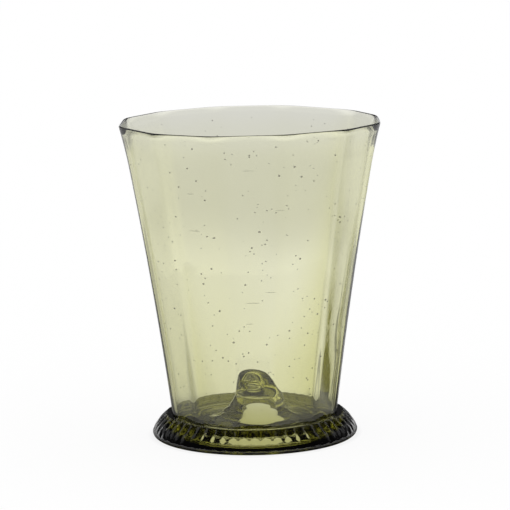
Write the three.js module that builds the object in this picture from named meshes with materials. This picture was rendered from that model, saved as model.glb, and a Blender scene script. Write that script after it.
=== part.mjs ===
// Footed drinking glass: a beaker of blown green glass with twelve panels and a deep kick pushed up into
// its base, standing on a ribbed ring of glass that was laid round the heel and tooled outwards.
// Millimetres, +Z up, resting on z = 0, with the bounding box centred on the Z axis.
// Angles go round from the front (-Y) towards +X.

import * as THREE from 'three';
import { mergeVertices } from 'three/addons/utils/BufferGeometryUtils.js';

// Overall sizes
const HEIGHT = 120;
const JOINT_GAP = 0.3;

// Bowl: where its twelve corners are, in degrees, and how far they stand from its axis
const CORNER_ANGLES = [-136, -108, -76, -44, -16.5, 15, 44.6, 74.4, 105, 128, 165, 195];
const CORNER_RADIUS = 31.2;
const CORNER_TAPER = 0.12;
const CORNER_FLARE = 0.00031;
const RIM_FLARE = 0.7;
const RIM_FLARE_START = 103;

// Bowl: how sharp its corners are, as heights and sharpness
const OUTER_SHARPNESS = [[0, 60], [85, 60], [120, 50]];
const INNER_SHARPNESS = [[0, 54], [85, 54], [120, 45]];

// Bowl: the corners where the glass is thickest, as a direction in degrees, the depth of the extra glass
// at the base, and the height where it ends
const THICK_CORNERS = [[136, 4.4, 118], [-139, 2.2, 60]];

// Bowl: thickness of the wall, and the waves of the fire-polished rim
const WALL_AT_BASE = 2.9;
const WALL_AT_RIM = 1;
const RIM_WAVE = 0.3;
const RIM_WAVE_DEPTH = 30;

// Bowl: the heel and the inner floor
const HEEL_HEIGHT = 2.2;
const HEEL_ROUNDING = 3.6;
const FLOOR_HEIGHT = 6.1;
const FLOOR_FILLET = 2.2;

// Kick: radius and height along its inside and along the hollow under it, and its sideways lean
const KICK = [
  [20, 6.15], [16, 6.7], [12.9, 7.8], [10.9, 9.8], [9.9, 12.4],
  [9.3, 15], [8.5, 17.8], [7.2, 20.6], [4.8, 23.4], [0, 24.6],
];
const HOLLOW = [
  [0, 21.4], [2.4, 20.4], [3.1, 18.6], [3.4, 16.8], [5.9, 15], [6.5, 13.2],
  [6.9, 11], [7.1, 8], [7.3, 5], [8.6, 3], [12, 2.2],
];
const KICK_OFFSET = 1.3;
const KICK_LEAN = -2.8;
const KICK_LEAN_START = 15;

const KICK_TOP = KICK.at(-1)[1];
const HOLLOW_TOP = HOLLOW[0][1];
const KICK_THICKNESS = KICK_TOP - HOLLOW_TOP;

// Kick: how much further its foot reaches at the front and the left, as heights and reach, the direction of
// that reach in degrees, over which cosines of the angle from there it grows, and the radii between which
// it fades into the floor
const KICK_FRONT = [[6.1, 1], [6.7, 1.5], [7.8, 2.2], [9.8, 3], [12.4, 2], [15, 0]];
const FRONT_DIRECTION = -30;
const FRONT_WIDTH = [0.1, 0.85];
const FRONT_FLOOR = [18, 22.5];

// Radii between which the kick's offset fades out, and between which the panels begin
const OFFSET_FADE = [12, 24];
const PANEL_FADE = [24, 30];

// Foot ring: radius and height down its outside and up its inside, and the flat that it rests on
const RING_OUTSIDE = [[33.8, 8.5], [35.8, 6.8], [37.2, 5], [38.4, 3.2], [39, 1.7], [38.7, 0.6]];
const REST_OUTER = 37.5;
const REST_INNER = 30;
const RING_INSIDE = [[29.3, 0.2], [28.3, 1.1], [27.4, 1.9]];

// Foot ring: its ribs, and the share of their height that they have at each height of the ring
const RIB_COUNT = 54;
const RIB_HEIGHT = 1.2;
const RIB_SHAPE = [[1.4, 0], [2.6, 0.2], [4.4, 0.2], [5, 0.35], [6.2, 1], [7.4, 0.9], [8.5, 0.4]];

// Pontil scar: the broken glass left under the kick
const SCAR_RADIUS = 1.45;
const SCAR_THICKNESS = 1.2;
const SCAR_NOTCHES = 5;

// Steps of each surface; the bowl's are given as places across a panel, closer together near its corners
const PANEL_PLACES = [0, 0.08, 0.3, 0.5, 0.7, 0.92];
const WALL_STEPS = 6;
const CURVE_STEPS = 22;
const RING_STEPS = 10;
const ARC_STEPS = 4;
const STEPS_PER_RIB = 3;
const SCAR_STEPS = 20;

const { degToRad, lerp, smoothstep } = THREE.MathUtils;

const range = (count) => Array.from({ length: count }, (_, i) => i);
const evenAngles = (count) => range(count).map((i) => (2 * Math.PI * i) / count);

const panels = CORNER_ANGLES.map(degToRad).map((corner, i, corners) => {
  const next = i + 1 < corners.length ? corners[i + 1] : corners[0] + 2 * Math.PI;
  return { middle: (corner + next) / 2, halfAngle: (next - corner) / 2 };
});

const panelFlats = panels.map(({ middle, halfAngle }) => ({
  direction: middle,
  distance: Math.cos(halfAngle),
}));

// Value at a height, from a list of heights and values
function atHeight(z, steps) {
  const above = steps.findIndex(([height]) => height > z);
  if (above < 1) return steps.at(above)[1];
  const [[lowZ, low], [highZ, high]] = [steps[above - 1], steps[above]];
  return lerp(low, high, (z - lowZ) / (highZ - lowZ));
}

// Flats across the inside of the thick corners, which grow towards the base
function cornerFlats(z) {
  return THICK_CORNERS.filter(([, , top]) => z < top).map(([degrees, depth, top]) => ({
    direction: degToRad(degrees),
    distance: 1 - (depth * (1 - z / top)) / CORNER_RADIUS,
  }));
}

// Distance at an angle to a rounded outline that keeps inside each flat
function flatsOutline(angle, sharpness, flats) {
  const sum = flats.reduce((total, { direction, distance }) => {
    const facing = Math.max(0, Math.cos(angle - direction)) / distance;
    return total + facing ** sharpness;
  }, 0);
  return sum ** (-1 / sharpness);
}

function cornerRadius(z) {
  const rimShare = Math.max(0, (z - RIM_FLARE_START) / (HEIGHT - RIM_FLARE_START));
  return CORNER_RADIUS + CORNER_TAPER * z + CORNER_FLARE * z * z + RIM_FLARE * rimShare ** 2;
}

function innerRadius(z) {
  return cornerRadius(z) - lerp(WALL_AT_BASE, WALL_AT_RIM, z / HEIGHT);
}

function arc([centreR, centreZ], radius, fromDegrees, toDegrees) {
  return range(ARC_STEPS + 1).map((i) => {
    const angle = degToRad(lerp(fromDegrees, toDegrees, i / ARC_STEPS));
    return [centreR + radius * Math.cos(angle), centreZ + radius * Math.sin(angle)];
  });
}

function smoothCurve(points, steps) {
  const curve = new THREE.SplineCurve(points.map(([r, z]) => new THREE.Vector2(r, z)));
  return curve.getPoints(steps).map(({ x, y }) => [x, y]);
}

// Says for each point of a profile how it is placed at an angle
function placed(points, place) {
  return points.map(([radius, z]) => ({ radius, z, place }));
}

// Turns a profile of placed points about Z, through the given angles, into one closed surface
function revolve(profile, angles) {
  const outline = profile.map(({ radius, z }) => new THREE.Vector2(radius, z));
  const lathe = new THREE.LatheGeometry(outline, angles.length);
  lathe.deleteAttribute('normal');
  lathe.deleteAttribute('uv');
  const position = lathe.getAttribute('position');
  [...angles, angles[0]].forEach((angle, step) => {
    profile.forEach(({ radius, z, place }, j) => {
      position.setXYZ(step * profile.length + j, ...place(radius, z, angle));
    });
  });
  const geometry = mergeVertices(lathe, 1e-4);
  geometry.computeVertexNormals();
  return geometry;
}

// Sideways offset of the kick, which leans near its top and fades out across the floor
function kickOffset(radius, kickZ) {
  const height = Math.max(0, (kickZ - KICK_LEAN_START) / (KICK_TOP - KICK_LEAN_START));
  return (KICK_OFFSET + KICK_LEAN * height ** 2) * (1 - smoothstep(radius, ...OFFSET_FADE));
}

// How much further the kick's foot reaches at an angle, beyond its even shape
function frontSlope(radius, z, angle) {
  const reach = atHeight(z, KICK_FRONT) * (1 - smoothstep(radius, ...FRONT_FLOOR));
  return reach * smoothstep(Math.cos(angle - degToRad(FRONT_DIRECTION)), ...FRONT_WIDTH);
}

function rimWave(z, angle) {
  const depth = smoothstep(z, HEIGHT - RIM_WAVE_DEPTH, HEIGHT);
  return RIM_WAVE * depth * (0.6 * Math.sin(2 * angle + 1.1) + 0.4 * Math.sin(3 * angle - 0.6));
}

// Radius of the bowl's section at an angle: round in the middle, panelled at the wall
function bowlSection(radius, angle, sharpness, flats) {
  return radius * lerp(1, flatsOutline(angle, sharpness, flats), smoothstep(radius, ...PANEL_FADE));
}

function outerSection(radius, z, angle) {
  return bowlSection(radius, angle, atHeight(z, OUTER_SHARPNESS), panelFlats);
}

function innerSection(radius, z, angle) {
  const flats = [...panelFlats, ...cornerFlats(z)];
  const section = bowlSection(radius, angle, atHeight(z, INNER_SHARPNESS), flats);
  return section + frontSlope(radius, z, angle);
}

function placeOnBowl(sectionAt, kickLift) {
  return (radius, z, angle) => {
    const section = sectionAt(radius, z, angle);
    const offset = kickOffset(radius, z + kickLift);
    return [section * Math.sin(angle) + offset, -section * Math.cos(angle), z + rimWave(z, angle)];
  };
}

const wallStart = HEEL_HEIGHT + HEEL_ROUNDING;
const heelRadius = cornerRadius(wallStart) - HEEL_ROUNDING;

function makeBowl() {
  const rimRadius = WALL_AT_RIM / 2;
  const wallEnd = HEIGHT - rimRadius;
  const outerWall = range(WALL_STEPS).map((i) => {
    const z = lerp(wallStart, wallEnd, (i + 1) / WALL_STEPS);
    return [cornerRadius(z), z];
  });
  const rim = arc([cornerRadius(wallEnd) - rimRadius, wallEnd], rimRadius, 0, 180).slice(1, -1);
  const filletTop = FLOOR_HEIGHT + FLOOR_FILLET;
  const innerWall = range(WALL_STEPS + 1).map((i) => {
    const z = lerp(wallEnd, filletTop, i / WALL_STEPS);
    return [innerRadius(z), z];
  });
  const filletRadius = innerRadius(filletTop) - FLOOR_FILLET;
  const fillet = arc([filletRadius, filletTop], FLOOR_FILLET, 0, -90).slice(1);

  const placeOutside = placeOnBowl(outerSection, KICK_THICKNESS);
  const placeInside = placeOnBowl(innerSection, 0);
  const hollow = smoothCurve([...HOLLOW, [heelRadius - 3, HEEL_HEIGHT]], CURVE_STEPS);
  const kick = smoothCurve([[filletRadius - 3, FLOOR_HEIGHT], ...KICK], CURVE_STEPS);
  const heel = arc([heelRadius, wallStart], HEEL_ROUNDING, -90, 0);
  const outside = [...hollow, ...heel, ...outerWall];
  const inside = [...innerWall, ...fillet, ...kick];
  const angles = panels.flatMap(({ middle, halfAngle }) =>
    PANEL_PLACES.map((place) => middle + halfAngle * (2 * place - 1)));
  return revolve(
    [...placed([...outside, ...rim], placeOutside), ...placed(inside, placeInside)],
    angles,
  );
}

// Height of the ribs at an angle, for lobes of height 1 with sharp grooves between them
function ribLobe(angle) {
  return Math.abs(Math.sin((RIB_COUNT / 2) * angle));
}

function makeFootRing() {
  const placeRound = (radius, z, angle) => [radius * Math.sin(angle), -radius * Math.cos(angle), z];
  const placeRibbed = (radius, z, angle) => {
    return placeRound(radius + RIB_HEIGHT * (ribLobe(angle) - 1) * atHeight(z, RIB_SHAPE), z, angle);
  };
  const placeOnHeel = (radius, z, angle) => placeRound(outerSection(radius, z, angle), z, angle);
  const ringTop = RING_OUTSIDE[0][1];
  const onHeel = [
    [cornerRadius(ringTop) + JOINT_GAP, ringTop],
    ...arc([heelRadius, wallStart], HEEL_ROUNDING + JOINT_GAP, 0, -90),
  ];
  return revolve(
    [
      ...placed([[REST_INNER, 0], [REST_OUTER, 0]], placeRound),
      ...placed(smoothCurve(RING_OUTSIDE.toReversed(), RING_STEPS), placeRibbed),
      ...placed(onHeel, placeOnHeel),
      ...placed([...RING_INSIDE.toReversed(), [REST_INNER, 0]], placeRound),
    ],
    evenAngles(RIB_COUNT * STEPS_PER_RIB),
  );
}

function makePontilScar() {
  const top = HOLLOW_TOP - JOINT_GAP;
  const placeJagged = (radius, z, angle) => {
    const section = radius * (1 + 0.15 * Math.sin(SCAR_NOTCHES * angle) + 0.1 * Math.sin(3 * angle + 1));
    return [section * Math.sin(angle) + kickOffset(0, z + KICK_THICKNESS), -section * Math.cos(angle), z];
  };
  const outline = [
    [0, top - SCAR_THICKNESS],
    [SCAR_RADIUS * 0.5, top - SCAR_THICKNESS * 0.75],
    [SCAR_RADIUS * 0.8, top - SCAR_THICKNESS],
    [SCAR_RADIUS, top - SCAR_THICKNESS * 0.7],
    [SCAR_RADIUS * 0.6, top - SCAR_THICKNESS * 0.25],
    [0, top],
  ];
  return revolve(placed(outline, placeJagged), evenAngles(SCAR_STEPS));
}

function glassMaterial(color, opacity) {
  return new THREE.MeshStandardMaterial({
    color,
    opacity,
    transparent: true,
    roughness: 0.05,
    metalness: 0,
  });
}

function makePiece(name, geometry, material) {
  const mesh = new THREE.Mesh(geometry, material);
  mesh.name = name;
  return mesh;
}

const glass = new THREE.Group();
glass.add(
  makePiece('bowl', makeBowl(), glassMaterial(0xcfcdb2, 0.4)),
  makePiece('foot_ring', makeFootRing(), glassMaterial(0x3c4018, 0.8)),
  makePiece('pontil_scar', makePontilScar(), glassMaterial(0x6e7040, 0.6)),
);

const centre = new THREE.Box3().setFromObject(glass).getCenter(new THREE.Vector3());
glass.position.set(-centre.x, -centre.y, 0);

export default glass;
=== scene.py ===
import math
import random

import bmesh
import bpy
import numpy as np
from mathutils import Matrix, Vector, noise


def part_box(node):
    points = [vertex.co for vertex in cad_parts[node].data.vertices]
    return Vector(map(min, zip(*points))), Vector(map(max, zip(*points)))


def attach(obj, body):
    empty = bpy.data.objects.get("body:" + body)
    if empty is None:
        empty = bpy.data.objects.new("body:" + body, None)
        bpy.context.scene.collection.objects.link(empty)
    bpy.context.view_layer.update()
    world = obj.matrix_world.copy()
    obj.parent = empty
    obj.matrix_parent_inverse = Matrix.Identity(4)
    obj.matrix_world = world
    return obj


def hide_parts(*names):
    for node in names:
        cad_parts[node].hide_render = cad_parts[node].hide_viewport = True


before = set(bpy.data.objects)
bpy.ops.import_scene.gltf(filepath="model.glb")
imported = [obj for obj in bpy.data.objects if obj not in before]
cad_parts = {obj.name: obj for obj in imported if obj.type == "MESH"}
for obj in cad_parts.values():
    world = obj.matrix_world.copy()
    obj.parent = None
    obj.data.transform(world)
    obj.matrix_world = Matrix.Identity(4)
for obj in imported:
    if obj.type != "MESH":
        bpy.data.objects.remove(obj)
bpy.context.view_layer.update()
scene = bpy.context.scene

# Sizes are in millimetres unless a name or a comment says otherwise, and meshes are made in
# metres. Directions round the glass run from the front towards its right.
MM = 0.001
ALL_ROUND = (-180, 180)

# Camera: its place and its tilt in degrees, and the frame that it is fitted to
FRAME_PIXELS = 510
SENSOR_WIDTH = 36.0
FOCAL_PIXELS = 2814.0
CAMERA_DISTANCE = 1050.9
CAMERA_HEIGHT = 242.3
CAMERA_SIDE = 1.1
CAMERA_PITCH = 9.378
CAMERA_ROLL = 0.987
CLIP_END_METRES = 50

# Bowl: the directions of its corners in radians, the panels between them, and the radius that the
# corners follow. Sharpness is given by height. A thick corner has a direction in degrees, a depth
# and the height at which it ends.
HEIGHT = 120.0
CORNER_ANGLES = np.radians([-136, -108, -76, -44, -16.5, 15, 44.6, 74.4, 105, 128, 165, 195])
NEXT_CORNERS = np.append(CORNER_ANGLES[1:], CORNER_ANGLES[0] + 2 * math.pi)
PANEL_MIDDLES = (CORNER_ANGLES + NEXT_CORNERS) / 2
PANEL_WIDTHS = NEXT_CORNERS - CORNER_ANGLES
CORNER_RADIUS = 31.2
CORNER_TAPER = 0.12
CORNER_FLARE = 0.00031
RIM_FLARE = 0.7
RIM_FLARE_START = 103.0
OUTER_SHARPNESS = [(0, 60), (85, 60), (120, 50)]
INNER_SHARPNESS = [(0, 54), (85, 54), (120, 45)]
THICK_CORNERS = [(136, 4.4, 118), (-139, 2.2, 60)]
WALL_AT_BASE = 2.9
WALL_AT_RIM = 1.0
HEEL_HEIGHT = 2.2
HEEL_ROUNDING = 3.6
FLOOR_HEIGHT = 6.1
FLOOR_FILLET = 2.2
FLAT_RUN = 3.0

# The rim's waves: their height, how far down they reach, and for each part its share, its number
# of waves round the rim and its turn in radians
RIM_WAVE = 0.3
RIM_WAVE_DEPTH = 30.0
RIM_WAVE_PARTS = [(0.6, 2, 1.1), (0.4, 3, -0.6)]

# Kick: its profile and the hollow's as radii and heights, how much further its foot reaches at the
# front left by radius, its sideways offset, and the radii over which it passes into the panels
KICK = [(20, 6.15), (16, 6.7), (12.9, 7.8), (10.9, 9.8), (9.9, 12.4), (9.3, 15), (8.5, 17.8),
        (7.2, 20.6), (4.8, 23.4), (0, 24.6)]
HOLLOW = [(0, 21.4), (2.4, 20.4), (3.1, 18.6), (3.4, 16.8), (5.9, 15), (6.5, 13.2), (6.9, 11),
          (7.1, 8), (7.3, 5), (8.6, 3), (12, 2.2)]
KICK_TOP = KICK[-1][1]
HOLLOW_TOP = HOLLOW[0][1]
KICK_FRONT = [(6.1, 1), (6.7, 1.5), (7.8, 2.2), (9.8, 3), (12.4, 2), (15, 0)]
FRONT_DIRECTION = -30.0
FRONT_WIDTH = (0.1, 0.85)
FRONT_FLOOR = (18.0, 22.5)
KICK_OFFSET = 1.3
KICK_LEAN = -2.8
KICK_LEAN_START = 15.0
OFFSET_FADE = (12.0, 24.0)
PANEL_FADE = (24.0, 30.0)

# Foot ring; it is fused to the bowl, so its inner side reaches a little into the heel. Its ribs
# were tooled by hand, so each differs a little in depth and in place. Each noise round the axis
# has a scale and a level.
RING_OUTSIDE = [(33.8, 8.5), (35.8, 6.8), (37.2, 5), (38.4, 3.2), (39, 1.7), (38.7, 0.6)]
REST_OUTER = 37.5
REST_INNER = 30.0
REST_EDGE = (0.6, 0.1)
RING_INSIDE = [(29.3, 0.2), (28.3, 1.1), (27.4, 2.2)]
RIB_COUNT = 54
RIB_HEIGHT = 1.2
RIB_SHAPE = [(1.4, 0), (2.6, 0.2), (4.4, 0.2), (5, 0.35), (6.2, 1), (7.4, 0.9), (8.5, 0.4)]
RIB_DRIFT = 0.25
RIB_DRIFT_NOISE = (4, 1.7)
RIB_UNEVENNESS = 0.3
RIB_DEPTH_NOISE = (9, 8.2)
FUSED_DEPTH = 0.25

# Glass: the light lost per metre is the density times one minus the colour
GLASS_DENSITY = 160.0
GLASS_COLOR = (0.681, 0.675, 0.094)
GLASS_IOR = 1.5

# Surface of each glass: its relief's scale and its stretch along each axis, its range of
# roughness, and the relief's depth in metres
BOWL_SURFACE = (160.0, (1, 1, 0.5), (0.0, 0.02), 0.00002)
FOOT_SURFACE = (420.0, (1, 1, 1), (0.0, 0.08), 0.00006)
SCAR_SURFACE = (900.0, (1, 1, 1), (0.1, 0.4), 0.0002)
NOISE_DETAIL = 3.0
WEAR_SCALE = 0.4
WEAR_RANGE = (0.4, 0.7)

# Seeds, the bubbles in the bowl's wall: the clear ones at the front as directions in degrees and
# heights, the number of others, and their radii. Streaks are bubbles drawn out sideways, given
# with their half length. Depths are shares of the wall's thickness, and so is the largest radius
# that a seed, streak or speck may have outwards.
CLEAR_SEEDS = [(-26, 115), (-26, 103), (4, 84), (0, 78), (-22, 70), (-28, 64), (-4, 64),
               (-52, 53), (-19, 54), (-12, 42), (8, 41), (-19, 36), (40, 51), (45, 56),
               (26, 73), (41, 111), (50, 85), (13, 105), (20, 108), (24, 104)]
CLEAR_SEED_RADIUS = (0.28, 0.36)
SEED_COUNT = 320
SEED_RADIUS = (0.14, 0.3)
SEED_SIZE_POWER = 1.5
SEED_STRETCH = (1.0, 1.5)
SEED_HEIGHTS = (14.0, 116.0)
SEED_DEPTHS = (0.35, 0.65)
STREAKS = [(-30, 84, 2.4), (-1, 107, 2.2), (0, 57, 2.8), (-30, 98, 1.5), (14, 92, 1.8),
           (-2, 49, 1.4), (10, 61, 2.0)]
STREAK_RADIUS = 0.08
MID_WALL = 0.5
THICKEST_SHARE = 0.35

# Specks, the dark grains in the wall, with what their radii round the wall and up it are
# multiplied by, and how much their points move in and out
SPECKS = [(31, 117), (-46, 51), (31, 102), (48, 86), (-61, 29)]
SPECK_COUNT = 12
SPECK_RADIUS = (0.16, 0.27)
SPECK_WIDTH = (0.8, 1.4)
SPECK_HEIGHT = (0.7, 1.1)
SPECK_LUMPS = (0.75, 1.25)
SPECK_COLORS = ((0.012, 0.01, 0.006, 1), (0.09, 0.07, 0.035, 1))
SPECK_GRAIN = 4000.0
SPECK_ROUGHNESS = 0.8

# Unevenness of the bowl's inside. The wall is thicker below its rim and thinner at the front right,
# with small waves that have a length round the wall and up it. Tooling left ripples on the floor.
# Each set of four heights or radii is where the change starts, is full, is last full and ends.
SWELL_DEPTH = 0.45
SWELL_HEIGHTS = (55.0, 110.0, 110.0, 119.5)
THIN_DEPTH = 0.5
THIN_DIRECTION = 38.0
THIN_WIDTH = (0.75, 1.0)
THIN_HEIGHTS = (28.0, 50.0, 70.0, 96.0)
WAVE_DEPTH = 0.07
WAVE_AROUND = 13.0
WAVE_UP = 34.0
WAVE_HEIGHTS = (8.0, 16.0, 112.0, 119.0)
RIPPLE_DEPTH = 0.14
RIPPLE_LENGTH = 2.6
RIPPLE_RADII = (13.0, 17.0, 23.0, 25.5)
RIPPLE_TOP = (7.5, 9.0)
RIPPLE_STRENGTH = 0.6
RIPPLE_STRENGTH_NOISE = (3, 5.1)
RIPPLE_DRIFT = 4.0
RIPPLE_DRIFT_NOISE = (2, 0.3)

# Studio floor: its own colour, and how strongly it glows for the camera, which sees it white. Rays
# that come by way of glass see that glow reduced by direction and by distance from the axis, as
# painted shade.
# Directions are in degrees from behind the glass towards its right, and distances in metres.
# Pairs are where a change starts and ends.
FLOOR_RADIUS = 6.0
FLOOR_SEGMENTS = 96
FLOOR_COLOR = 0.12
FLOOR_GLOW = 0.88

# Painted shade by direction, which only glass sees: one that ends with the side fade, and one at
# every distance
NEAR_AROUND = [(-180, 0.95), (-92, 0.95), (-76, 0.6), (-38, 0.6), (-20, 0.85), (0, 0.95),
               (23, 1.0), (29, 0.3), (34, 0.3), (40, 0.85), (56, 0.85), (62, 0.12), (78, 0.12),
               (84, 1.0), (180, 0.95)]
SIDE_FADE = (0.26, 0.34)
FAR_AROUND = [(-180, 0.94), (-70, 0.94), (-62, 0.75), (-38, 0.75), (-22, 0.94), (180, 0.94)]

# A shade round the foot, but not in front of it, and a slight one far away
NEAR_SHADE = 0.35
NEAR_FADE = (0.047, 0.073)
NEAR_FRONT = (-0.035, -0.015)
FAR_SHADE = 0.77
FAR_FADE = (0.3, 0.6)

# Under the foot the floor is dark with a painted shadow, but for painted light in a disc in the
# middle, a strip in front and a strip behind
FOOT_SHADOW_EDGE = (0.0385, 0.0415)
UNDER_LIGHT = 0.78
UNDER_FADE = (0.014, 0.0195)
STRIP_LIGHT = 0.8
STRIP_SIDE = (0.0195, 0.0215)
STRIP_BACK = (-0.0195, -0.0185)
STRIP_FRONT = (0.0262, 0.0282)
BACK_STRIP_LIGHT = 0.4
BACK_STRIP = (0.019, 0.024)

# What glass sees of the world, by the parts of a ray's direction: bright at the horizon and dark
# overhead, with a card high behind the glass
SKY_LIGHT = 0.04
HORIZON = (0.06, 0.16)
CARD_LIGHT = 0.4
CARD_SIDE = (0.1, 0.4)
CARD_LOW = (0.25, 0.4)
CARD_HIGH = (0.65, 0.8)

# Steps of the fine surfaces. Crowding draws a panel's steps towards its corners.
STEPS_PER_PANEL = 25
CORNER_CROWDING = 0.6
WALL_STEPS = 48
CURVE_STEPS = 7
ARC_STEPS = 10
STEPS_PER_RIB = 16
REST_ROWS = 4
BALL_SUBDIVISIONS = 2
SHARP_ANGLE = 30.0


def blend(low, high, share):
    return low + (high - low) * share


def ramp(value, low, high):
    t = np.clip((value - low) / (high - low), 0.0, 1.0)
    return t * t * (3 - 2 * t)


def hump(value, start, full, last_full, end):
    """Up from 0 to 1 between the first two limits, and down to 0 between the last two."""
    return ramp(value, start, full) * (1 - ramp(value, last_full, end))


def at_height(z, steps):
    """The value at a height, from a list of heights and values."""
    return np.interp(z, *zip(*steps))


def noise_around(angles, scale, level):
    """Noise on a circle round the axis."""
    return np.array([noise.noise((scale * math.sin(a), scale * math.cos(a), level))
                     for a in angles])


def corner_radius(z):
    rim_share = np.maximum(0, (z - RIM_FLARE_START) / (HEIGHT - RIM_FLARE_START))
    return CORNER_RADIUS + CORNER_TAPER * z + CORNER_FLARE * z * z + RIM_FLARE * rim_share ** 2


def inner_radius(z):
    return corner_radius(z) - blend(WALL_AT_BASE, WALL_AT_RIM, z / HEIGHT)


def panel_outline(angles, sharpness, flats):
    """Distance to the panelled outline at each angle, for corners at radius 1.

    Each flat is a direction and a distance.
    """
    middles, distances = PANEL_MIDDLES, np.cos(PANEL_WIDTHS / 2)
    for direction, distance in flats:
        middles = np.append(middles, math.radians(direction))
        distances = np.append(distances, distance)
    facing = np.maximum(0, np.cos(angles[:, None] - middles)) / distances
    return (facing ** sharpness).sum(axis=1) ** (-1 / sharpness)


def corner_flats(z):
    """The flats across the inside of the thick corners, which grow towards the base."""
    return [(direction, 1 - depth * (1 - z / top) / CORNER_RADIUS)
            for direction, depth, top in THICK_CORNERS if z < top]


def panel_angles():
    """Angles round the bowl, closer together near its corners."""
    even = np.arange(STEPS_PER_PANEL) / STEPS_PER_PANEL
    places = even - CORNER_CROWDING * np.sin(2 * math.pi * even) / (2 * math.pi)
    return (CORNER_ANGLES[:, None] + PANEL_WIDTHS[:, None] * places).ravel()


def bowl_section(radius, angles, sharpness, flats=()):
    """Radius of the bowl's section at each angle: round in the middle, panelled at the wall."""
    return radius * blend(1, panel_outline(angles, sharpness, flats), ramp(radius, *PANEL_FADE))


def kick_offset(radius, kick_z):
    """How far the kick stands to the right of the axis, by radius and height."""
    height = max(0.0, (kick_z - KICK_LEAN_START) / (KICK_TOP - KICK_LEAN_START))
    return (KICK_OFFSET + KICK_LEAN * height ** 2) * (1 - ramp(radius, *OFFSET_FADE))


def front_slope(radius, z, angles):
    """How much further the kick's foot reaches at the front and the left."""
    reach = at_height(z, KICK_FRONT) * (1 - ramp(radius, *FRONT_FLOOR))
    return reach * ramp(np.cos(angles - math.radians(FRONT_DIRECTION)), *FRONT_WIDTH)


def rim_wave(z, angles):
    """How much higher the wall is at each angle than if its rim were level."""
    waves = sum(share * np.sin(count * angles + turn) for share, count, turn in RIM_WAVE_PARTS)
    return RIM_WAVE * ramp(z, HEIGHT - RIM_WAVE_DEPTH, HEIGHT) * waves


def unevenness(radius, z, angles):
    """How much further out the wall's inside is at each angle than its even shape."""
    thin = THIN_DEPTH * hump(z, *THIN_HEIGHTS)
    thin = thin * ramp(np.cos(angles - math.radians(THIN_DIRECTION)), *THIN_WIDTH)
    swell = SWELL_DEPTH * hump(z, *SWELL_HEIGHTS)
    depth = WAVE_DEPTH * ramp(radius, *PANEL_FADE) * hump(z, *WAVE_HEIGHTS)
    return thin - swell + depth * noise_around(angles, radius / WAVE_AROUND, z / WAVE_UP)


def floor_ripples(radius, z, angles):
    """The height of the ripples round the inner floor, which come and go as they run round it."""
    depth = RIPPLE_DEPTH * hump(radius, *RIPPLE_RADII) * (1 - ramp(z, *RIPPLE_TOP))
    strength = RIPPLE_STRENGTH + noise_around(angles, *RIPPLE_STRENGTH_NOISE)
    drift = RIPPLE_DRIFT * noise_around(angles, *RIPPLE_DRIFT_NOISE)
    return depth * strength * np.sin(2 * math.pi * radius / RIPPLE_LENGTH + drift)


def arc(centre, radius, start, end):
    angles = np.radians(np.linspace(start, end, ARC_STEPS + 1))
    return [(centre[0] + radius * math.cos(a), centre[1] + radius * math.sin(a)) for a in angles]


def curve_through(points, axis_start=False, axis_end=False):
    """A smooth curve through points. An end on the axis meets it squarely."""
    p = [np.array(q, float) for q in points]
    mirror = np.array([-1.0, 1.0])
    p.insert(0, p[1] * mirror if axis_start else p[0])
    p.append(p[-2] * mirror if axis_end else p[-1])
    made = []
    for a, b, c, d in zip(p, p[1:], p[2:], p[3:]):
        for t in np.arange(CURVE_STEPS) / CURVE_STEPS:
            made.append(tuple(0.5 * (2 * b + (c - a) * t + (2 * a - 5 * b + 4 * c - d) * t * t
                                     + (3 * b - a - 3 * c + d) * t ** 3)))
    return made + [tuple(p[-2])]


def ball():
    """Points and faces of a small round ball of radius 1."""
    shape = bmesh.new()
    bmesh.ops.create_icosphere(shape, subdivisions=BALL_SUBDIVISIONS, radius=1.0)
    points = np.array([vert.co[:] for vert in shape.verts])
    faces = [tuple(vert.index for vert in face.verts) for face in shape.faces]
    shape.free()
    return points, faces


def towards(angle):
    """The level direction at an angle from the front."""
    return np.array([math.sin(angle), -math.cos(angle), 0.0])


def in_wall(degrees, z, share, radii):
    """A ball inside the bowl's wall, at a share of its thickness.

    It has a radius outwards, one round the wall and one up it, and the first stays within a share
    of the wall's thickness.
    """
    angle = math.radians(degrees)
    angles, radius = np.array([angle]), inner_radius(z)
    inner = bowl_section(radius, angles, at_height(z, INNER_SHARPNESS), corner_flats(z))
    inner = (inner + unevenness(radius, z, angles))[0]
    outer = bowl_section(corner_radius(z), angles, at_height(z, OUTER_SHARPNESS))[0]
    facing = PANEL_MIDDLES[np.argmax(np.cos(angle - PANEL_MIDDLES))]
    outwards = towards(facing)
    sideways = np.array([math.cos(facing), math.sin(facing), 0.0])
    up = np.array([0.0, 0.0, 1.0])
    middle = blend(inner, outer, share) * towards(angle) + up * z
    depth, width, height = min(radii[0], THICKEST_SHARE * (outer - inner)), radii[1], radii[2]
    points, faces = ball()
    turned = (points[:, :1] * outwards * depth + points[:, 1:2] * sideways * width
              + points[:, 2:] * up * height)
    return turned + middle, faces


def seed_balls(chance):
    """The seeds and streaks in the bowl's wall, their faces turned, as glass lies outside them."""
    places = [(a, z, chance.uniform(*CLEAR_SEED_RADIUS)) for a, z in CLEAR_SEEDS]
    for _ in range(SEED_COUNT):
        size = blend(*SEED_RADIUS, chance.random() ** SEED_SIZE_POWER)
        places.append((chance.uniform(*ALL_ROUND), chance.uniform(*SEED_HEIGHTS), size))
    balls = []
    for a, z, size in places:
        width = size * chance.uniform(*SEED_STRETCH)
        balls.append(in_wall(a, z, chance.uniform(*SEED_DEPTHS), (size, width, size)))
    for a, z, length in STREAKS:
        balls.append(in_wall(a, z, MID_WALL, (STREAK_RADIUS, length, STREAK_RADIUS)))
    return [(points, [face[::-1] for face in faces]) for points, faces in balls]


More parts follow.
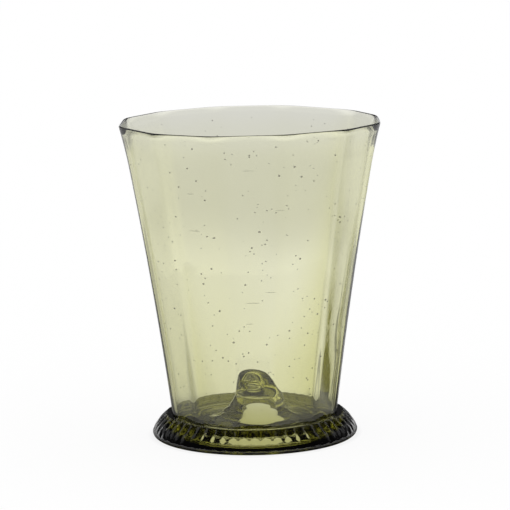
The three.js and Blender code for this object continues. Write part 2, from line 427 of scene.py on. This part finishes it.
def speck_balls(chance):
    """The dark grains in the bowl's wall."""
    places = SPECKS + [(chance.uniform(*ALL_ROUND), chance.uniform(*SEED_HEIGHTS))
                       for _ in range(SPECK_COUNT)]
    balls = []
    for a, z in places:
        size = chance.uniform(*SPECK_RADIUS)
        width = size * chance.uniform(*SPECK_WIDTH)
        height = size * chance.uniform(*SPECK_HEIGHT)
        points, faces = in_wall(a, z, MID_WALL, (size, width, height))
        middle = points.mean(axis=0)
        lumps = np.array([[chance.uniform(*SPECK_LUMPS)] for _ in points])
        balls.append((middle + (points - middle) * lumps, faces))
    return balls


def join(parts):
    """One list of points and one of faces, from several of each."""
    points, faces, first = [], [], 0
    for part_points, part_faces in parts:
        points.append(part_points)
        faces += [tuple(first + i for i in face) for face in part_faces]
        first += len(part_points)
    return np.concatenate(points), faces


def revolved(rows, closed):
    """Points and faces of a closed surface round the axis.

    Rows that aren't closed start and end in a point on the axis.
    """
    grid = np.array(rows)
    count, around = grid.shape[:2]
    if closed:
        points = grid.reshape(-1, 3)
        first_row, pairs = 0, [(i, (i + 1) % count) for i in range(count)]
    else:
        points = np.concatenate([grid[0, :1], grid[1:-1].reshape(-1, 3), grid[-1, :1]])
        first_row, pairs = 1, [(i, i + 1) for i in range(1, count - 2)]
    faces = []
    for low, high in pairs:
        a = (low - first_row) * around + first_row
        b = (high - first_row) * around + first_row
        faces += [(a + i, a + (i + 1) % around, b + (i + 1) % around, b + i)
                  for i in range(around)]
    if not closed:
        last, top = len(points) - 1, len(points) - 1 - around
        faces += [(0, 1 + (i + 1) % around, 1 + i) for i in range(around)]
        faces += [(last, top + i, top + (i + 1) % around) for i in range(around)]
    return points, faces


def add_mesh(name, points, faces):
    mesh = bpy.data.meshes.new(name)
    mesh.from_pydata((points * MM).tolist(), [], faces)
    mesh.shade_smooth()
    mesh.set_sharp_from_angle(angle=math.radians(SHARP_ANGLE))
    piece = bpy.data.objects.new(name, mesh)
    scene.collection.objects.link(piece)
    return piece


def heel_centre():
    """Radius and height of the centre of the heel's rounding. The wall starts at that height."""
    height = HEEL_HEIGHT + HEEL_ROUNDING
    return corner_radius(height) - HEEL_ROUNDING, height


def wall_rows():
    """The bowl's profile from under its kick, round the rim and back, as rows of points."""
    angles = panel_angles()
    heel_radius, wall_start = heel_centre()
    rim_radius = WALL_AT_RIM / 2
    wall_end = HEIGHT - rim_radius
    fillet_top = FLOOR_HEIGHT + FLOOR_FILLET
    fillet_radius = inner_radius(fillet_top) - FLOOR_FILLET

    outside = curve_through(HOLLOW + [(heel_radius - FLAT_RUN, HEEL_HEIGHT)], axis_start=True)
    outside += arc((heel_radius, wall_start), HEEL_ROUNDING, -90, 0)
    outside += [(corner_radius(z), z)
                for z in np.linspace(wall_start, wall_end, WALL_STEPS + 1)[1:]]
    outside += arc((corner_radius(wall_end) - rim_radius, wall_end), rim_radius, 0, 180)[1:-1]
    inside = [(inner_radius(z), z) for z in np.linspace(wall_end, fillet_top, WALL_STEPS + 1)]
    inside += arc((fillet_radius, fillet_top), FLOOR_FILLET, 0, -90)[1:]
    inside += curve_through([(fillet_radius - FLAT_RUN, FLOOR_HEIGHT)] + KICK, axis_end=True)

    def row(radius, z, sharpness, kick_lift, flats=()):
        section = bowl_section(radius, angles, at_height(z, sharpness), flats)
        ripples = 0
        if kick_lift == 0:
            section = section + front_slope(radius, z, angles) + unevenness(radius, z, angles)
            ripples = floor_ripples(radius, z, angles)
        x = section * np.sin(angles) + kick_offset(radius, z + kick_lift)
        height = z + rim_wave(z, angles) + ripples
        return np.stack([x, -section * np.cos(angles), height], axis=-1)

    lift = KICK_TOP - HOLLOW_TOP
    return ([row(r, z, OUTER_SHARPNESS, lift) for r, z in outside]
            + [row(r, z, INNER_SHARPNESS, 0, corner_flats(z)) for r, z in inside])


def ring_rows():
    """The ring's profile from its flat underside, over the ribs and back along the heel."""
    steps = RIB_COUNT * STEPS_PER_RIB
    angles = np.arange(steps) * 2 * math.pi / steps
    drift = RIB_DRIFT * noise_around(angles, *RIB_DRIFT_NOISE)
    depths = 1 - RIB_UNEVENNESS * np.abs(noise_around(angles, *RIB_DEPTH_NOISE))
    grooves = RIB_HEIGHT * depths * (np.abs(np.sin(RIB_COUNT / 2 * angles + drift)) - 1)

    def circle(radius, z):
        radius = radius + 0 * angles
        return np.stack([radius * np.sin(angles), -radius * np.cos(angles), z + 0 * angles],
                        axis=-1)

    rows = [circle(r, 0.0) for r in np.linspace(REST_INNER, REST_OUTER, REST_ROWS)]
    edge = (REST_OUTER + REST_EDGE[0], REST_EDGE[1])
    outside = curve_through([edge] + RING_OUTSIDE[::-1])
    rows += [circle(r + grooves * at_height(z, RIB_SHAPE), z) for r, z in outside]
    ring_top = RING_OUTSIDE[0][1]
    on_heel = [(corner_radius(ring_top) - FUSED_DEPTH, ring_top)]
    on_heel += arc(heel_centre(), HEEL_ROUNDING - FUSED_DEPTH, 0, -90)
    on_heel += [(RING_INSIDE[-1][0], HEEL_HEIGHT + FUSED_DEPTH)]
    rows += [circle(bowl_section(r, angles, at_height(z, OUTER_SHARPNESS)), z)
             for r, z in on_heel]
    inside = curve_through(RING_INSIDE[::-1] + [(REST_INNER, 0.0)])
    rows += [circle(r, z) for r, z in inside[:-1]]
    return rows


def math_node(tree, operation, *values):
    node = tree.nodes.new("ShaderNodeMath")
    node.operation = operation
    for i, value in enumerate(values):
        if isinstance(value, bpy.types.NodeSocket):
            tree.links.new(value, node.inputs[i])
        else:
            node.inputs[i].default_value = value
    return node.outputs[0]


def product(tree, *values):
    total = values[0]
    for value in values[1:]:
        total = math_node(tree, "MULTIPLY", total, value)
    return total


def map_range(tree, value, source, result, interpolation="SMOOTHSTEP"):
    node = tree.nodes.new("ShaderNodeMapRange")
    node.interpolation_type = interpolation
    tree.links.new(value, node.inputs["Value"])
    for name, number in zip(("From Min", "From Max", "To Min", "To Max"), source + result):
        node.inputs[name].default_value = number
    return node.outputs["Result"]


def noise_texture(tree, scale, stretch):
    """Noise fixed to the glass, drawn out along its axes."""
    place = tree.nodes.new("ShaderNodeTexCoord").outputs["Object"]
    mapping = tree.nodes.new("ShaderNodeMapping")
    mapping.inputs["Scale"].default_value = stretch
    tree.links.new(place, mapping.inputs["Vector"])
    texture = tree.nodes.new("ShaderNodeTexNoise")
    texture.inputs["Scale"].default_value = scale
    texture.inputs["Detail"].default_value = NOISE_DETAIL
    tree.links.new(mapping.outputs[0], texture.inputs["Vector"])
    return texture.outputs["Fac"]


def new_material(name):
    material = bpy.data.materials.new(name)
    material.use_nodes = True
    return material, material.node_tree


def glass_material(name, scale, stretch, rough_range, bump_depth):
    """Green glass with an uneven polish and a fine relief."""
    material, tree = new_material(name)
    shader = tree.nodes["Principled BSDF"]
    shader.inputs["Base Color"].default_value = (1, 1, 1, 1)
    shader.inputs["Transmission Weight"].default_value = 1
    shader.inputs["IOR"].default_value = GLASS_IOR
    volume = tree.nodes.new("ShaderNodeVolumeAbsorption")
    volume.inputs["Color"].default_value = (*GLASS_COLOR, 1)
    volume.inputs["Density"].default_value = GLASS_DENSITY
    tree.links.new(volume.outputs["Volume"], tree.nodes["Material Output"].inputs["Volume"])

    bump = tree.nodes.new("ShaderNodeBump")
    bump.inputs["Strength"].default_value = 1.0
    bump.inputs["Distance"].default_value = bump_depth
    tree.links.new(noise_texture(tree, scale, stretch), bump.inputs["Height"])
    tree.links.new(bump.outputs["Normal"], shader.inputs["Normal"])
    wear = noise_texture(tree, scale * WEAR_SCALE, stretch)
    tree.links.new(map_range(tree, wear, WEAR_RANGE, rough_range), shader.inputs["Roughness"])
    return material


def speck_material():
    material, tree = new_material("dark_furnace_grain")
    shader = tree.nodes["Principled BSDF"]
    shader.inputs["Roughness"].default_value = SPECK_ROUGHNESS
    colors = tree.nodes.new("ShaderNodeValToRGB")
    for stop, color in zip(colors.color_ramp.elements, SPECK_COLORS):
        stop.color = color
    tree.links.new(noise_texture(tree, SPECK_GRAIN, (1, 1, 1)), colors.inputs["Fac"])
    tree.links.new(colors.outputs["Color"], shader.inputs["Base Color"])
    return material


def rays_seen(tree):
    """The rays that see the backdrop as the camera does, and those that come by way of glass."""
    path = tree.nodes.new("ShaderNodeLightPath")
    by_glass = math_node(tree, "MAXIMUM",
                         path.outputs["Is Glossy Ray"], path.outputs["Is Transmission Ray"])
    return math_node(tree, "MAXIMUM", path.outputs["Is Camera Ray"], by_glass), by_glass


def seen_by_glass(tree, value, by_glass):
    """The value for rays that come by way of glass, and 1 for all others."""
    hidden = math_node(tree, "SUBTRACT", 1.0, value)
    return math_node(tree, "SUBTRACT", 1.0, math_node(tree, "MULTIPLY", hidden, by_glass))


def light_around(tree, direction, around):
    """The floor's light in each direction, from a list of directions and values."""
    turn = map_range(tree, direction, (-math.pi, math.pi), (0.0, 1.0), "LINEAR")
    node = tree.nodes.new("ShaderNodeValToRGB")
    ramp_stops = node.color_ramp.elements
    ramp_stops.remove(ramp_stops[0])
    for i, (degrees, value) in enumerate(around):
        place = (degrees + 180) / 360
        stop = ramp_stops[0] if i == 0 else ramp_stops.new(place)
        stop.position = place
        stop.color = (value, value, value, 1)
    tree.links.new(turn, node.inputs["Fac"])
    return node.outputs["Color"]


def floor_light(tree, x, y, distance):
    """How bright glass sees the floor at each place, with painted shade and a painted shadow under
    the foot, and painted light under its base.
    """
    direction = math_node(tree, "ARCTAN2", x, y)
    around = product(
        tree,
        math_node(tree, "MAXIMUM",
                  light_around(tree, direction, NEAR_AROUND),
                  map_range(tree, distance, SIDE_FADE, (0.0, 1.0))),
        light_around(tree, direction, FAR_AROUND),
        math_node(tree, "MAXIMUM",
                  map_range(tree, distance, NEAR_FADE, (NEAR_SHADE, 1.0)),
                  map_range(tree, y, NEAR_FRONT, (1.0, NEAR_SHADE))),
        map_range(tree, distance, FAR_FADE, (1.0, FAR_SHADE)),
        map_range(tree, distance, FOOT_SHADOW_EDGE, (0.0, 1.0)))
    under = map_range(tree, distance, UNDER_FADE, (UNDER_LIGHT, 0.0))
    strip = product(
        tree,
        map_range(tree, math_node(tree, "ABSOLUTE", x), STRIP_SIDE, (STRIP_LIGHT, 0.0)),
        map_range(tree, y, STRIP_BACK, (1.0, 0.0)),
        map_range(tree, distance, STRIP_FRONT, (1.0, 0.0)))
    back_strip = product(
        tree,
        map_range(tree, y, BACK_STRIP, (0.0, BACK_STRIP_LIGHT)),
        map_range(tree, distance, FOOT_SHADOW_EDGE, (1.0, 0.0)))
    seen = around
    for light in (under, strip, back_strip):
        seen = math_node(tree, "MAXIMUM", seen, light)
    return seen


def add_floor(foot_centre):
    """A wide white floor, which keeps the glass's shadow. Under the foot its colour and glow carry
    a painted shadow, and glass sees painted shade and light on it.
    """
    mesh = bpy.data.meshes.new("floor")
    shape = bmesh.new()
    bmesh.ops.create_circle(shape, cap_ends=True, segments=FLOOR_SEGMENTS, radius=FLOOR_RADIUS)
    shape.to_mesh(mesh)
    shape.free()
    floor = bpy.data.objects.new("floor", mesh)
    floor.location = foot_centre
    scene.collection.objects.link(floor)
    material, tree = new_material("floor_white")
    tree.nodes.clear()
    place = tree.nodes.new("ShaderNodeTexCoord").outputs["Object"]
    split = tree.nodes.new("ShaderNodeSeparateXYZ")
    tree.links.new(place, split.inputs[0])
    from_centre = tree.nodes.new("ShaderNodeVectorMath")
    from_centre.operation = "LENGTH"
    tree.links.new(place, from_centre.inputs[0])
    distance = from_centre.outputs["Value"]

    direct, by_glass = rays_seen(tree)
    seen = floor_light(tree, split.outputs["X"], split.outputs["Y"], distance)
    strength = product(tree, seen_by_glass(tree, seen, by_glass), direct, FLOOR_GLOW)
    glow = tree.nodes.new("ShaderNodeEmission")
    tree.links.new(strength, glow.inputs["Strength"])
    diffuse = tree.nodes.new("ShaderNodeBsdfDiffuse")
    # The floor's colour goes to black under the foot, as a painted shadow.
    color = map_range(tree, distance, FOOT_SHADOW_EDGE, (0.0, FLOOR_COLOR))
    tree.links.new(color, diffuse.inputs["Color"])
    total = tree.nodes.new("ShaderNodeAddShader")
    tree.links.new(diffuse.outputs[0], total.inputs[0])
    tree.links.new(glow.outputs[0], total.inputs[1])
    output = tree.nodes.new("ShaderNodeOutputMaterial")
    tree.links.new(total.outputs[0], output.inputs["Surface"])
    mesh.materials.append(material)


def add_world():
    """An even white light, which glass sees only at the horizon and as a card high behind it."""
    world = bpy.data.worlds.new("studio")
    world.use_nodes = True
    tree = world.node_tree
    background = tree.nodes["Background"]
    background.inputs["Color"].default_value = (1, 1, 1, 1)
    direction = tree.nodes.new("ShaderNodeTexCoord")
    split = tree.nodes.new("ShaderNodeSeparateXYZ")
    tree.links.new(direction.outputs["Generated"], split.inputs[0])
    y, z = split.outputs["Y"], split.outputs["Z"]
    card = product(
        tree,
        map_range(tree, y, CARD_SIDE, (0.0, CARD_LIGHT)),
        map_range(tree, z, CARD_LOW, (0.0, 1.0)),
        map_range(tree, z, CARD_HIGH, (1.0, 0.0)))
    horizon = map_range(tree, math_node(tree, "ABSOLUTE", z), HORIZON, (1.0, SKY_LIGHT))
    backdrop = math_node(tree, "MAXIMUM", card, horizon)
    strength = seen_by_glass(tree, backdrop, rays_seen(tree)[1])
    tree.links.new(strength, background.inputs["Strength"])
    scene.world = world


def add_camera(foot_centre):
    data = bpy.data.cameras.new("camera")
    data.sensor_width = SENSOR_WIDTH
    data.lens = FOCAL_PIXELS / FRAME_PIXELS * SENSOR_WIDTH
    data.clip_end = CLIP_END_METRES
    camera = bpy.data.objects.new("camera", data)
    scene.collection.objects.link(camera)
    place = Vector((CAMERA_SIDE, -CAMERA_DISTANCE, CAMERA_HEIGHT)) * MM + foot_centre
    tilt = Matrix.Rotation(math.radians(90 - CAMERA_PITCH), 4, "X")
    roll = Matrix.Rotation(math.radians(-CAMERA_ROLL), 4, "Z")
    camera.matrix_world = Matrix.Translation(place) @ tilt @ roll
    scene.camera = camera


low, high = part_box("foot_ring")
foot_centre = Vector(((low.x + high.x) / 2, (low.y + high.y) / 2, 0))
add_camera(foot_centre)
add_world()
add_floor(foot_centre)

scene.view_settings.view_transform = "Standard"
scene.cycles.max_bounces = 32
scene.cycles.transmission_bounces = 32
scene.cycles.glossy_bounces = 16

bowl_glass = glass_material("blown_green_glass", *BOWL_SURFACE)
foot_glass = glass_material("tooled_green_glass", *FOOT_SURFACE)
scar_glass = glass_material("broken_green_glass", *SCAR_SURFACE)

# The seeds are drawn before the specks; in another order they would all lie elsewhere.
chance = random.Random(11)
bowl_shape = join([revolved(wall_rows(), False)] + seed_balls(chance))
for name, node, shape, material, slot in (
    ("bowl_glass", "bowl", bowl_shape, bowl_glass, "bowl_glass"),
    ("foot_ring_glass", "foot_ring", revolved(ring_rows(), True), foot_glass, "foot_glass"),
    ("bowl_specks", None, join(speck_balls(chance)), speck_material(), "bowl_glass"),
):
    piece = add_mesh(name, *shape)
    piece.data.transform(Matrix.Translation(foot_centre))
    piece.data.materials.append(material)
    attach(piece, "root")
    if node:
        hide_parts(node)

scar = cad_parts["pontil_scar"]
scar.data.materials.clear()
scar.data.materials.append(scar_glass)
